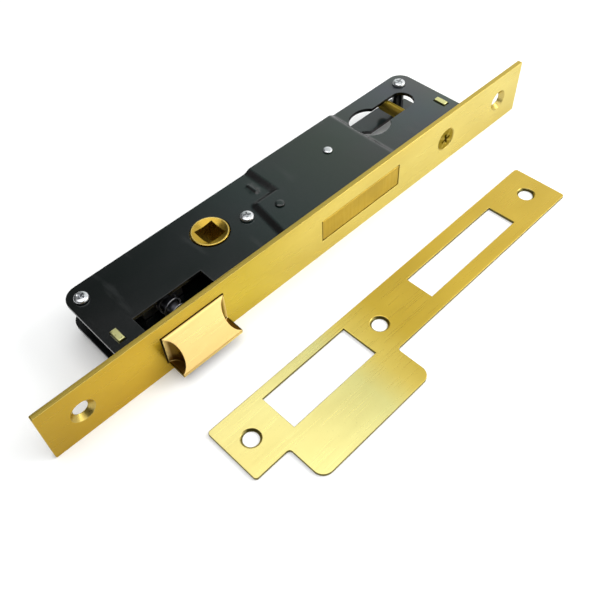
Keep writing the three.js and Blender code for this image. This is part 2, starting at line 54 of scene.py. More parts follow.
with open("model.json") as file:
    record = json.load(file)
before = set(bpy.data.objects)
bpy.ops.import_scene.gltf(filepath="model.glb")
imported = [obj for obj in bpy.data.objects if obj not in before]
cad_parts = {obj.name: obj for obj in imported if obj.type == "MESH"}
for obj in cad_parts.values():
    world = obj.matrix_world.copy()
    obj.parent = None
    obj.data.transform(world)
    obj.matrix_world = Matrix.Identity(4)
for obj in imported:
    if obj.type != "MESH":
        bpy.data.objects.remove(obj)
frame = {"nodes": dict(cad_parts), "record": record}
cad_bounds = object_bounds()

MM = 0.001
NODES = frame["nodes"]


class Box:
    """A node's box at rest, in millimetres."""

    def __init__(self, node):
        low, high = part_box(node)
        self.low = Vector(low) / MM
        self.high = Vector(high) / MM
        self.middle = (self.low + self.high) / 2
        self.size = self.high - self.low


# ------------------------------------------------------------------ sizes from the frame

FOREND = Box("forend")
COVER = Box("cover")
STRIKE = Box("strike_plate")
HUB = Box("follower")
LATCH = Box("latch_head")
BOLT = Box("deadbolt_head")
CYLINDER_SCREW = Box("cylinder_screw")
COVER_SCREWS = [Box("cover_screw_%d" % i) for i in (1, 2, 3)]
GUIDE_PIN = Box("guide_pin")
CASE_RIVET = Box("case_rivet")
GUIDE_RIVETS = [Box("latch_guide_rivet_%d" % i) for i in (1, 2)]
TABLE_Z = FOREND.low.z

SHEET = 1.5  # the plates' thickness
PRESSED = 1.2  # height of the raised area
RAMP = 3.3  # width of its slope
OUTSIDE = COVER.high.z - PRESSED  # the cover's outer face beside the raised area
ROOM = OUTSIDE - SHEET  # half the room between the plates
GAP = 0.3  # clearance between one piece and the next
BACKSET = 25  # forend's face to the axes of follower and cylinder
CENTRES = 85  # follower's axis to the cylinder's axis


# ------------------------------------------------------------------ camera

CAMERA_ASIDE = (3.6, -28.6)  # the point aimed at, from the model's middle along x and y
CAMERA_AIM_Z = -0.5
CAMERA_DISTANCE = 248
CAMERA_AZIMUTH = -49.11  # degrees, as the two below
CAMERA_ELEVATION = 51.62
CAMERA_ROLL = -4.13
CAMERA_LENS = 43.37
SENSOR = 36
NEAR = 0.01  # metres


def make_camera():
    """A camera above and in front of the forend, turned and rolled as a hand-held one."""
    centre = (cad_bounds[0] + cad_bounds[1]) / 2
    aside = Vector(CAMERA_ASIDE) * MM
    aim = Vector((centre.x + aside.x, centre.y + aside.y, CAMERA_AIM_Z * MM))
    azimuth = math.radians(CAMERA_AZIMUTH)
    elevation = math.radians(CAMERA_ELEVATION)
    roll = math.radians(CAMERA_ROLL)
    away = Vector((
        -math.sin(azimuth) * math.cos(elevation),
        -math.cos(azimuth) * math.cos(elevation),
        math.sin(elevation),
    ))
    data = bpy.data.cameras.new("camera")
    data.sensor_width = SENSOR
    data.lens = CAMERA_LENS
    data.clip_start = NEAR
    camera = bpy.data.objects.new("camera", data)
    turn = away.to_track_quat("Z", "Y") @ Matrix.Rotation(roll, 4, "Z").to_quaternion()
    camera.matrix_world = Matrix.LocRotScale(aim + away * CAMERA_DISTANCE * MM, turn, None)
    bpy.context.scene.collection.objects.link(camera)
    bpy.context.scene.camera = camera


# ------------------------------------------------------------------ light and floor

# Soft boxes: place, target, size and radiance, in metres, where a radiance of 1 is white.
LIGHTS = {
    "overhead": ((0.04, -0.15, 1.0), (0.04, -0.15, 0.0), (1.32, 1.2), 2.1),
    "side": ((1.0, 0.35, 0.32), (0.0, 0.0, 0.0), (0.9, 0.5), 2.2),
    "end": ((0.30, 0.45, 0.35), (0.02, 0.15, 0.0), (0.3, 0.3), 6.5),
}
# The room's colour, by how far a direction reaches towards +Y.
ROOM_COLOURS = [
    (0.00, (0.08, 0.08, 0.08)),
    (0.60, (0.10, 0.105, 0.105)),
    (0.67, (0.21, 0.22, 0.22)),
    (0.75, (0.60, 0.65, 0.63)),
    (0.82, (0.92, 0.94, 0.93)),
    (1.00, (1.00, 1.00, 1.00)),
]
ROOM_STRENGTH = 1.35
FLOOR_HALF = 1.5  # metres
FLOOR_GLOW = 0.06  # keeps the shadows on the table pale
FLOOR_CLOUDS = 60  # cycles per metre
FLOOR_SHADES = [(0.3, (0.88, 0.88, 0.88)), (0.7, (0.92, 0.92, 0.92))]


def area_light(name, place, target, size, radiance):
    data = bpy.data.lights.new(name, "AREA")
    data.shape = "RECTANGLE"
    data.size, data.size_y = size
    data.energy = radiance * math.pi * size[0] * size[1]
    light = bpy.data.objects.new(name, data)
    direction = Vector(target) - Vector(place)
    light.location = place
    light.rotation_euler = direction.to_track_quat("-Z", "Y").to_euler()
    bpy.context.scene.collection.objects.link(light)


def make_world():
    """A room that is dim on the -Y side and bright, like a window wall, on the +Y side."""
    world = bpy.data.worlds.new("studio")
    bpy.context.scene.world = world
    world.use_nodes = True
    nodes = world.node_tree.nodes
    link = world.node_tree.links.new
    place = nodes.new("ShaderNodeTexCoord")
    split = nodes.new("ShaderNodeSeparateXYZ")
    link(place.outputs["Generated"], split.inputs["Vector"])
    along = map_range(nodes, link, split.outputs["Y"], 0, 1, (-1, 1))
    ramp = colour_ramp(nodes, ROOM_COLOURS)
    link(along, ramp.inputs["Fac"])
    background = nodes["Background"]
    link(ramp.outputs["Color"], background.inputs["Color"])
    background.inputs["Strength"].default_value = ROOM_STRENGTH


def make_light():
    make_world()
    for name, row in LIGHTS.items():
        area_light(name, *row)
    bpy.context.scene.view_settings.view_transform = "Standard"


def make_floor():
    """A white table top with the forend's lower edge on it."""
    half = FLOOR_HALF
    mesh = bpy.data.meshes.new("floor")
    z = TABLE_Z * MM
    corners = [(-half, -half, z), (half, -half, z), (half, half, z), (-half, half, z)]
    mesh.from_pydata(corners, [], [(0, 1, 2, 3)])
    floor = bpy.data.objects.new("floor", mesh)
    bpy.context.scene.collection.objects.link(floor)
    material, nodes, link = new_material("white_table")
    shader = nodes["Principled BSDF"]
    noise = nodes.new("ShaderNodeTexNoise")
    noise.inputs["Scale"].default_value = FLOOR_CLOUDS
    ramp = colour_ramp(nodes, FLOOR_SHADES)
    link(noise.outputs["Fac"], ramp.inputs["Fac"])
    link(ramp.outputs["Color"], shader.inputs["Base Color"])
    shader.inputs["Roughness"].default_value = 0.9
    shader.inputs["Specular IOR Level"].default_value = 0.1
    shader.inputs["Emission Color"].default_value = (1, 1, 1, 1)
    shader.inputs["Emission Strength"].default_value = FLOOR_GLOW
    mesh.materials.append(material)


# ------------------------------------------------------------------ materials

# Scales of noise, in cycles per metre, and depths of bump, in mm.
CLOUDS = 70
FINE_GRAIN = 1400
CAST_GRAIN = 900
STEEL_GRAIN = 1500
PITS = 1500
PIT_DEPTH = 0.006
PIT_SPAN = (0.24, 0.34)  # the noise that is a pit
PIT_COVER = 0.25
PIT_SHADE = 0.45  # a pit's colour as a share of the metal's dark one
NOISE_SPAN = (0.3, 0.7)  # where most of the noise's values are
WEAR = 0.8  # how far a worn edge takes the worn colour
WORN_POINTINESS = (0.53, 0.60)
COAT_ROUGHNESS = 0.12
HAZE_PATCHES = 30
SCUFFS = 160
WAVES, WAVE_DEPTH = 110, 0.04
PEEL, PEEL_DEPTH = 900, 0.012

ALONG_Y = (1, 0.03, 1)
ALONG_Z = (1, 1, 0.05)
EVEN = (1, 1, 1)

# Painted light: colours down the y axis, which multiply the metal's own with painted shade and
# highlight along the piece: (place in mm, colour).
# Painted shade and reflection on the forend: darker olive gold at low y, pale at high y.
FOREND_PAINTED_LIGHT = [
    (-87, (0.55, 0.43, 0.10)),
    (-48, (0.80, 0.64, 0.13)),
    (-5, (0.78, 0.73, 0.22)),
    (25, (0.89, 0.87, 0.56)),
    (85, (0.91, 0.94, 0.85)),
    (153, (0.86, 0.88, 0.90)),
]
# Painted highlight on the strike: paler at low y, deeper gold beyond.
STRIKE_PAINTED_HIGHLIGHT = [
    (-48, (0.90, 0.95, 0.90)),
    (0, (0.89, 1.00, 1.00)),
    (11, (1.00, 0.93, 0.52)),
    (26, (0.92, 0.76, 0.22)),
    (60, (0.98, 0.80, 0.24)),
    (120, (0.90, 0.76, 0.30)),
]
# Painted reflection on the black lacquer: its colour along y, near black at low y and grey at high
# y: (place in mm, colour).
LACQUER_PAINTED_SHEEN = [
    (-55, (0.0020, 0.0025, 0.0025)),
    (0, (0.0025, 0.0050, 0.0050)),
    (20, (0.0040, 0.0110, 0.0100)),
    (60, (0.0070, 0.0150, 0.0080)),
    (80, (0.0160, 0.0220, 0.0180)),
    (105, (0.0260, 0.0330, 0.0400)),
    (119, (0.0440, 0.0480, 0.0420)),
]
HAZE_CLOUDS = [
    (0.30, (0.62, 1.00, 0.85)),
    (0.50, (0.80, 0.90, 0.90)),
    (0.70, (1.00, 0.80, 1.00)),
]


def new_material(name):
    material = bpy.data.materials.new(name)
    material.use_nodes = True
    tree = material.node_tree
    return material, tree.nodes, tree.links.new


def colour_ramp(nodes, stops):
    ramp = nodes.new("ShaderNodeValToRGB")
    elements = ramp.color_ramp.elements
    while len(elements) < len(stops):
        elements.new(0.5)
    for element, (position, colour) in zip(elements, stops):
        element.position = position
        element.color = (*colour, 1)
    return ramp


def stretched_noise(nodes, link, scale, stretch, detail):
    """Noise in object coordinates, drawn out along the axes where stretch is small."""
    place = nodes.new("ShaderNodeTexCoord")
    mapping = nodes.new("ShaderNodeMapping")
    mapping.inputs["Scale"].default_value = stretch
    noise = nodes.new("ShaderNodeTexNoise")
    noise.inputs["Scale"].default_value = scale
    noise.inputs["Detail"].default_value = detail
    link(place.outputs["Object"], mapping.inputs["Vector"])
    link(mapping.outputs["Vector"], noise.inputs["Vector"])
    return noise.outputs["Fac"]


def map_range(nodes, link, value, low, high, source=NOISE_SPAN):
    """The value taken from the source span to the span from low to high, and held inside."""
    node = nodes.new("ShaderNodeMapRange")
    node.inputs["From Min"].default_value = source[0]
    node.inputs["From Max"].default_value = source[1]
    node.inputs["To Min"].default_value = low
    node.inputs["To Max"].default_value = high
    link(value, node.inputs["Value"])
    return node.outputs["Result"]


def mixed(nodes, link, factor, first, second):
    """Colours first and second mixed by a value; either may be a socket or a colour."""
    mix = nodes.new("ShaderNodeMix")
    mix.data_type = "RGBA"
    link(factor, mix.inputs["Factor"])
    for name, colour in (("A", first), ("B", second)):
        socket = next(s for s in mix.inputs if s.name == name and s.type == "RGBA")
        if isinstance(colour, tuple):
            socket.default_value = (*colour, 1)
        else:
            link(colour, socket)
    return next(s for s in mix.outputs if s.type == "RGBA")


def bumped(nodes, link, shader, layers):
    """Chains bumps, each (height, depth in mm), into the shader's normal."""
    normal = None
    for height, depth in layers:
        bump = nodes.new("ShaderNodeBump")
        bump.inputs["Strength"].default_value = 1
        bump.inputs["Distance"].default_value = depth * MM
        link(height, bump.inputs["Height"])
        if normal is not None:
            link(normal, bump.inputs["Normal"])
        normal = bump.outputs["Normal"]
    link(normal, shader.inputs["Normal"])


def normal_sizes(nodes, link):
    """How far the normal reaches along X, Y and Z, whichever way it points."""
    place = nodes.new("ShaderNodeTexCoord")
    size = nodes.new("ShaderNodeVectorMath")
    size.operation = "ABSOLUTE"
    split = nodes.new("ShaderNodeSeparateXYZ")
    link(place.outputs["Normal"], size.inputs[0])
    link(size.outputs["Vector"], split.inputs["Vector"])
    return split.outputs


def facing(nodes, link, axis, reach):
    """From 0 to 1 as the normal's reach along an axis goes from the first value to the last."""
    return map_range(nodes, link, normal_sizes(nodes, link)[axis], 0, 1, reach)


def plate_edges(nodes, link):
    """Near 1 on the broken edges of a plate, where the normal is along no axis."""
    sizes = normal_sizes(nodes, link)
    longest = sizes["X"]
    for axis in "YZ":
        larger = nodes.new("ShaderNodeMath")
        larger.operation = "MAXIMUM"
        link(longest, larger.inputs[0])
        link(sizes[axis], larger.inputs[1])
        longest = larger.outputs["Value"]
    return map_range(nodes, link, longest, 0, WEAR, (0.97, 0.88))


def sharp_edges(nodes, link):
    """Near 1 on the outer edges of a small turned or milled piece."""
    geometry = nodes.new("ShaderNodeNewGeometry")
    return map_range(nodes, link, geometry.outputs["Pointiness"], 0, WEAR, WORN_POINTINESS)


def metal(name, dark, light, worn, roughness, grain, stretch, depth, coat=0.0, painted_light=None,
          shaded_faces=(), edge_tint=(1, 1, 1), edges=sharp_edges):
    """A metal: cloudy colour, a grain that roughens and dents it, small pits, worn edges.

    The colours given along y, at places in mm, multiply it with painted shade and
    highlight. Faces listed for painted shade are given by an axis, how far their normal
    reaches along it where the shade starts and where it is full, and the shade's colour.
    edge_tint colours the grazing gloss.
    """
    material, nodes, link = new_material(name)
    shader = nodes["Principled BSDF"]
    shader.inputs["Metallic"].default_value = 1
    clouds = stretched_noise(nodes, link, CLOUDS, (1, 0.5, 1), 6)
    ramp = colour_ramp(nodes, [(0.34, dark), (0.66, light)])
    link(clouds, ramp.inputs["Fac"])
    colour = ramp.outputs["Color"]
    # painted shade and highlight that change along y
    if painted_light:
        colour = with_painted_light(nodes, link, colour, painted_light)
    colour = mixed(nodes, link, edges(nodes, link), colour, worn)
    # painted shade on faces turned from the light
    for axis, reach, face_shade in shaded_faces:
        colour = mixed(nodes, link, facing(nodes, link, axis, reach), colour, face_shade)
    pits = stretched_noise(nodes, link, PITS, EVEN, 2)
    spots = map_range(nodes, link, pits, PIT_COVER, 0, PIT_SPAN)
    colour = mixed(nodes, link, spots, colour, tuple(PIT_SHADE * c for c in dark))
    link(colour, shader.inputs["Base Color"])
    lines = stretched_noise(nodes, link, grain, stretch, 5)
    link(map_range(nodes, link, lines, *roughness), shader.inputs["Roughness"])
    bumped(nodes, link, shader, [(lines, depth), (pits, PIT_DEPTH)])
    shader.inputs["Coat Weight"].default_value = coat
    shader.inputs["Coat Roughness"].default_value = COAT_ROUGHNESS
    shader.inputs["Specular Tint"].default_value = (*edge_tint, 1)
    return material


def with_painted_light(nodes, link, colour, painted_light):
    """The colour multiplied by painted shade and highlight that change along y, from (place in mm,
    colour) pairs.
    """
    place = nodes.new("ShaderNodeTexCoord")
    split = nodes.new("ShaderNodeSeparateXYZ")
    link(place.outputs["Object"], split.inputs["Vector"])
    start, end = painted_light[0][0], painted_light[-1][0]
    along = map_range(nodes, link, split.outputs["Y"], 0, 1, (start * MM, end * MM))
    ramp = colour_ramp(nodes, [((y - start) / (end - start), c) for y, c in painted_light])
    link(along, ramp.inputs["Fac"])
    mix = nodes.new("ShaderNodeMix")
    mix.data_type = "RGBA"
    mix.blend_type = "MULTIPLY"
    mix.inputs["Factor"].default_value = 1
    first, second = [s for s in mix.inputs if s.type == "RGBA"]
    link(colour, first)
    link(ramp.outputs["Color"], second)
    return next(s for s in mix.outputs if s.type == "RGBA")


def lacquer():
    """Thin black stove enamel over pressed sheet, with random haze, a painted reflection that
    grows from near black to grey along y, and painted shade on its slopes and edges.
    """
    material, nodes, link = new_material("black_lacquer")
    shader = nodes["Principled BSDF"]
    # painted shade: near black for the slopes and edges
    slope_shade = (0.002, 0.002, 0.002)
    scuffed = (0.03, 0.033, 0.033)
    clouds = stretched_noise(nodes, link, HAZE_PATCHES, (1.4, 0.6, 1), 5)
    ramp = colour_ramp(nodes, HAZE_CLOUDS)
    link(clouds, ramp.inputs["Fac"])
    # painted reflection: the haze's colour grows from near black to grey along y
    haze_and_sheen = with_painted_light(nodes, link, ramp.outputs["Color"], LACQUER_PAINTED_SHEEN)
    # painted shade: slopes and broken edges take the near-black colour in place of the painted
    # reflection
    shaded_slopes = facing(nodes, link, "Z", (0.985, 0.93))
    haze_and_sheen = mixed(nodes, link, shaded_slopes, haze_and_sheen, slope_shade)
    scuffs = stretched_noise(nodes, link, SCUFFS, (0.35, 1.3, 1), 8)
    rubbed = map_range(nodes, link, scuffs, 0, 0.35, (0.60, 0.74))
    colour = mixed(nodes, link, rubbed, haze_and_sheen, scuffed)
    link(colour, shader.inputs["Base Color"])
    link(map_range(nodes, link, clouds, 0.16, 0.26), shader.inputs["Roughness"])
    peel = stretched_noise(nodes, link, PEEL, EVEN, 3)
    waves = stretched_noise(nodes, link, WAVES, EVEN, 2)
    bumped(nodes, link, shader, [(waves, WAVE_DEPTH), (peel, PEEL_DEPTH)])
    shader.inputs["Specular IOR Level"].default_value = 0.5
    return material


def make_materials():
    """The finishes by name. Each base is a dark and a light colour and one for worn edges."""
    worn_gilt = (0.80, 0.66, 0.24)
    thin_gilt = (0.42, 0.32, 0.09)
    golden = (1.0, 0.9, 0.5)
    # Painted shade: darker colours for faces turned from the light: the strike's sides, the
    # latch's ends, top and bottom, the forend's top and bottom, and the hub's dish.
    strike_side_shade = (0.10, 0.085, 0.018)
    latch_face_shade = (0.10, 0.055, 0.012)
    forend_edge_shade = (0.44, 0.32, 0.06)
    dish = (0.40, 0.26, 0.04)
    bases = {
        "forend": ((0.67, 0.53, 0.165), (0.73, 0.59, 0.195), thin_gilt),
        "strike": ((0.57, 0.46, 0.165), (0.63, 0.52, 0.200), thin_gilt),
        "latch": ((0.56, 0.385, 0.140), (0.62, 0.430, 0.165), worn_gilt),
        "bolt": ((0.33, 0.21, 0.018), (0.48, 0.32, 0.035), (0.70, 0.56, 0.22)),
        "hub": ((0.60, 0.42, 0.09), (0.76, 0.58, 0.18), (0.90, 0.80, 0.50)),
        "screw": ((0.15, 0.105, 0.010), (0.27, 0.19, 0.025), (0.50, 0.40, 0.12)),
        "yellow": ((0.48, 0.45, 0.12), (0.58, 0.55, 0.17), (0.7, 0.7, 0.4)),
        "bright": ((0.50, 0.51, 0.53), (0.68, 0.69, 0.70), (0.8, 0.8, 0.8)),
        # painted shade: steel and spring are darkened past the metal's own colour so that the
        # latch rod and spring look shaded in the latch's notch
        "steel": ((0.06, 0.06, 0.07), (0.11, 0.11, 0.125), (0.22, 0.22, 0.23)),
        "spring": ((0.05, 0.05, 0.06), (0.10, 0.10, 0.11), (0.2, 0.2, 0.21)),
    }
    brushed = ((0.26, 0.33), FINE_GRAIN, ALONG_Y, 0.0012)
    rough = ((0.36, 0.55), CAST_GRAIN, ALONG_Z, 0.03)
    smooth = ((0.22, 0.36), CAST_GRAIN, EVEN, 0.02)
    cast = ((0.30, 0.50), CAST_GRAIN, EVEN, 0.02)
    plated = ((0.25, 0.40), CAST_GRAIN, EVEN, 0.02)
    shiny = ((0.20, 0.34), CAST_GRAIN, EVEN, 0.02)
    rolled = ((0.34, 0.50), STEEL_GRAIN, ALONG_Y, 0.015)
    drawn = ((0.30, 0.40), STEEL_GRAIN, EVEN, 0.01)
    lacquered = 0.3
    return {
        "gilt": metal(
            "gilt", *bases["strike"], *brushed, lacquered, STRIKE_PAINTED_HIGHLIGHT,
            shaded_faces=[("Z", (0.92, 0.62), strike_side_shade)], edge_tint=golden, edges=plate_edges),
        "gilt_forend": metal(
            "gilt_forend", *bases["forend"], *brushed, lacquered, FOREND_PAINTED_LIGHT,
            shaded_faces=[("Z", (0.5, 0.8), forend_edge_shade)], edge_tint=golden, edges=plate_edges),
        "gilt_latch": metal(
            "gilt_latch", *bases["latch"], *brushed,
            shaded_faces=[("Y", (0.25, 0.55), latch_face_shade), ("Z", (0.75, 0.95), latch_face_shade)], edge_tint=golden),
        "brass": metal("brass", *bases["bolt"], *rough, edge_tint=(1, 0.85, 0.4)),
        "brass_hub": metal(
            "brass_hub", *bases["hub"], *smooth,
            shaded_faces=[("Z", (0.985, 0.965), dish)], edge_tint=golden),
        "brass_screw": metal("brass_screw", *bases["screw"], *cast, edge_tint=golden),
        "black_lacquer": lacquer(),
        "yellow_zinc": metal("yellow_zinc", *bases["yellow"], *plated),
        "bright_zinc": metal("bright_zinc", *bases["bright"], *shiny),
        "steel": metal("steel", *bases["steel"], *rolled),
        "spring_steel": metal("spring_steel", *bases["spring"], *drawn),
    }


# ------------------------------------------------------------------ placing pieces

SLOT_OF = {s["node"]: s["material_slot"] for s in frame["record"]["subparts"]}
# The finish of a node whose look differs from the others in its slot.
FINISH_OF = {
    "forend": "gilt_forend",
    "latch_head": "gilt_latch",
    "cylinder_screw": "brass_screw",
    "follower": "brass_hub",
}
BODY_OF = {
    node: body
    for body, nodes in frame["record"]["behaviour"]["bodies"].items()
    for node in nodes
}


def shade(piece, sharp):
    """Smooth shading that keeps edges steeper than sharp degrees."""
    for polygon in piece.data.polygons:
        polygon.use_smooth = True
    piece.data.set_sharp_from_angle(angle=math.radians(sharp))
    weighted = piece.modifiers.new("weighted", "WEIGHTED_NORMAL")
    weighted.keep_sharp = True


def stand_for(bm, node, sharp=38, part=None):
    """Places a bmesh in the stead of a CAD node, or beside that piece as a named part."""
    mesh = to_mesh(bm, node)
    piece = bpy.data.objects.new("%s_%s" % (node, part or "fine"), mesh)
    bpy.context.scene.collection.objects.link(piece)
    shade(piece, sharp)
    mesh.materials.clear()
    mesh.materials.append(MATERIALS[FINISH_OF.get(node, SLOT_OF[node])])
    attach(piece, BODY_OF[node])
    if not part:
        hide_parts(node)
    return piece


def to_mesh(bm, name):
    """A mesh in metres from a bmesh in millimetres, with its faces turned outwards."""
    bmesh.ops.recalc_face_normals(bm, faces=bm.faces)
    bmesh.ops.scale(bm, vec=(MM, MM, MM), verts=bm.verts)
    mesh = bpy.data.meshes.new(name)
    bm.to_mesh(mesh)
    bm.free()
    return mesh


# ------------------------------------------------------------------ mesh building

WELD = 0.002  # points this near are one
SHARPEST = 0.3  # keeps the inset of a sharp corner short
TINY = 1e-6
PLATE_SHARP = 50  # degrees
# Stands a shape drawn flat on its edge: its x, y and z become the model's y, z and x.
STAND = Matrix(((0, 0, 1, 0), (1, 0, 0, 0), (0, 1, 0, 0), (0, 0, 0, 1)))


def round_edges(bm, offset, segments=2, steep=40):
    """Breaks the edges between faces that meet more steeply than an angle in degrees."""
    limit = math.radians(steep)
    edges = [e for e in bm.edges if len(e.link_faces) == 2 and e.calc_face_angle() > limit]
    bmesh.ops.bevel(
        bm,
        geom=edges,
        offset=offset,
        segments=segments,
        profile=0.5,
        affect="EDGES",
        clamp_overlap=False,
    )


def refined(node, edge=0.15, segments=2, sharp=32):
    """The CAD node's own shape with clean faces and its edges broken by a small round."""
    bm = bmesh.new()
    bm.from_mesh(NODES[node].data)
    bmesh.ops.scale(bm, vec=(1 / MM, 1 / MM, 1 / MM), verts=bm.verts)
    bmesh.ops.remove_doubles(bm, verts=bm.verts, dist=WELD)
    bmesh.ops.dissolve_limit(bm, angle_limit=math.radians(1), verts=bm.verts, edges=bm.edges)
    round_edges(bm, edge, segments, sharp)
    stand_for(bm, node)


def soften(profile, radius):
    """The profile with each inner corner cut by a short curve."""
    points = [Vector(p) for p in profile]
    soft = [points[0]]
    for before, corner, after in zip(points, points[1:], points[2:]):
        arriving = corner - before
        leaving = after - corner
        cut = min(radius, 0.45 * arriving.length, 0.45 * leaving.length)
        start = corner - arriving.normalized() * cut
        end = corner + leaving.normalized() * cut
        for t in (0, 0.33, 0.67, 1):
            soft.append(start * (1 - t) ** 2 + corner * 2 * t * (1 - t) + end * t ** 2)
    soft.append(points[-1])
    return soft


def lathe(profile, segments=48, place=(0, 0, 0), along=None):
    """A closed turned solid about Z, or about the axis along, from (radius, height) points."""
    bm = bmesh.new()
    rings = []
    for radius, height in profile:
        if radius < TINY:
            rings.append([bm.verts.new((0, 0, height))])
        else:
            rings.append(level_ring(bm, segments, lambda angle: radius, height))
    join_rings(bm, rings)
    turn = Vector((0, 0, 1)).rotation_difference(Vector(along)) if along else None
    matrix = Matrix.LocRotScale(Vector(place), turn, None)
    bmesh.ops.transform(bm, matrix=matrix, verts=bm.verts)
    return bm


def level_ring(bm, count, radius_at, height):
    """New points round the z axis at a height, their radius given for each angle."""
    ring = []
    for i in range(count):
        angle = 2 * math.pi * i / count
        radius = radius_at(angle)
        ring.append(bm.verts.new((radius * math.cos(angle), radius * math.sin(angle), height)))
    return ring


def join_rings(bm, rings, closed=False):
    """Quads between each ring and the next, or triangles where a ring is one point."""
    pairs = list(zip(rings, rings[1:]))
    if closed:
        pairs.append((rings[-1], rings[0]))
    for low, high in pairs:
        count = max(len(low), len(high))
        for i in range(count):
            j = (i + 1) % count
            corners = [low[i % len(low)], low[j % len(low)]]
            corners += [high[j % len(high)], high[i % len(high)]]
            bm.faces.new(dict.fromkeys(corners))


def circle(x, y, radius, count=48):
    """Points round a hole, clockwise."""
    turn = -2 * math.pi / count
    return [
        (x + radius * math.cos(turn * i), y + radius * math.sin(turn * i))
        for i in range(count)
    ]


def rectangle(x0, x1, y0, y1):
    """Corners of a rectangular opening, clockwise."""
    return [(x0, y0), (x0, y1), (x1, y1), (x1, y0)]


def tab_hole(x, y, width, thick, clearance):
    """A rectangular opening round a tab whose middle and sizes are given."""
    across = width / 2 + clearance
    along = thick / 2 + clearance
    return rectangle(x - across, x + across, y - along, y + along)


def rounded(corners, steps=8):
    """An outline with its corners rounded; each corner is (x, y, radius)."""
    outline = []
    count = len(corners)
    for i, (x, y, radius) in enumerate(corners):
        corner = Vector((x, y))
        arriving = (corner - Vector(corners[i - 1][:2])).normalized()
        leaving = (Vector(corners[(i + 1) % count][:2]) - corner).normalized()
        turn = math.atan2(arriving.cross(leaving), arriving.dot(leaving))
        side = math.copysign(1, turn)
        start = corner - arriving * radius * math.tan(abs(turn) / 2)
        centre = start + Vector((-arriving.y, arriving.x)) * side * radius
        spoke = start - centre
        for k in range(steps + 1):
            angle = turn * k / steps
            cos, sin = math.cos(angle), math.sin(angle)
            outline.append((
                centre.x + spoke.x * cos - spoke.y * sin,
                centre.y + spoke.x * sin + spoke.y * cos,
            ))
    return outline


def inset(loop, distance):
    """The loop moved into the material, which lies on its left, by a distance."""
    moved = []
    for i, point in enumerate(loop):
        point = Vector(point)
        before = (point - Vector(loop[i - 1])).normalized()
        after = (Vector(loop[(i + 1) % len(loop)]) - point).normalized()
        normal = Vector((-before.y - after.y, before.x + after.x))
        normal.normalize()
        spread = max(SHARPEST, normal.dot(Vector((-before.y, before.x))))
        moved.append(point + normal * distance / spread)
    return moved


def edge_profile(low, high, edge, steps=3):
    """(inset, height) pairs from one face to the other round a softly broken edge."""
    quarter = [math.pi / 2 * k / steps for k in range(steps + 1)]
    bottom = [(edge * (1 - math.sin(a)), low + edge * (1 - math.cos(a))) for a in quarter]
    top = [(inwards, high + low - height) for inwards, height in reversed(bottom)]
    return bottom + top


def sheet(outline, holes, low, high, edge=0.15, profiles=None, borders=(0.15, 0.35)):
    """A plate with holes and broken edges. profiles gives some holes their own section.

    Flat borders beside each edge keep the broken edge's shading and wear off the faces.
    """
    bm = bmesh.new()
    bottom, top = [], []
    for index, loop in enumerate([outline, *holes]):
        profile = (profiles or {}).get(index - 1) or edge_profile(low, high, edge)
        first, last = profile[0], profile[-1]
        for width in borders:
            profile = [(first[0] + width, first[1]), *profile, (last[0] + width, last[1])]
        rings = [
            [bm.verts.new((p[0], p[1], height)) for p in inset(loop, inwards)]
            for inwards, height in profile
        ]
        join_rings(bm, rings)
        for ring, edges in ((rings[0], bottom), (rings[-1], top)):
            for a, b in zip(ring, ring[1:] + ring[:1]):
                edges.append(bm.edges.get((a, b)))
    for edges in (bottom, top):
        bmesh.ops.triangle_fill(bm, use_beauty=True, use_dissolve=False, edges=edges)
    return bm


def sliced(bm, point, normal, distances):
    """Cuts the faces by parallel lines, so that they can be bent there."""
    across = Vector((*normal, 0)).normalized()
    for distance in distances:
        bmesh.ops.bisect_plane(
            bm,
            geom=[*bm.verts, *bm.edges, *bm.faces],
            plane_co=Vector((*point, 0)) + across * distance,
            plane_no=across,
        )


def boolean(body, tool, operation):
    """The body's mesh cut by or joined with the tool's; both are bmeshes in millimetres."""
    objects = []
    for bm in (body, tool):
        bmesh.ops.recalc_face_normals(bm, faces=bm.faces)
        mesh = bpy.data.meshes.new("blank")
        bm.to_mesh(mesh)
        bm.free()
        blank = bpy.data.objects.new("blank", mesh)
        bpy.context.scene.collection.objects.link(blank)
        objects.append(blank)
    modifier = objects[0].modifiers.new("boolean", "BOOLEAN")
    modifier.object = objects[1]
    modifier.operation = operation
    modifier.solver = "EXACT"
    graph = bpy.context.evaluated_depsgraph_get()
    result = bmesh.new()
    result.from_mesh(objects[0].evaluated_get(graph).to_mesh())
    for blank in objects:
        bpy.data.objects.remove(blank)
    return result


def cross_tool(arm, width, depth, top):
    """A tapered cross for a driver's recess, its deep end narrow, as a bmesh about Z."""
    w, a = width / 2, arm
    plan = [
        (a, -w), (a, w), (w, w), (w, a), (-w, a), (-w, w),
        (-a, w), (-a, -w), (-w, -w), (-w, -a), (w, -a), (w, -w),
    ]
    levels = ((0.5, top - depth), (1, top), (1.3, top + 0.6))
    bm = bmesh.new()
    rings = []
    for spread, height in levels:
        rings.append([bm.verts.new((x * spread, y * spread, height)) for x, y in plan])
    join_rings(bm, rings)
    bm.faces.new(rings[0])
    bm.faces.new(rings[-1])
    return bm


# ------------------------------------------------------------------ pressed plates

CASE_CORNER = 6
CASE_SQUARE = 0.5
NOTCH_LOW, NOTCH_HIGH, NOTCH_BACK = -42.9, -14.0, -13.2  # the gap for the latch

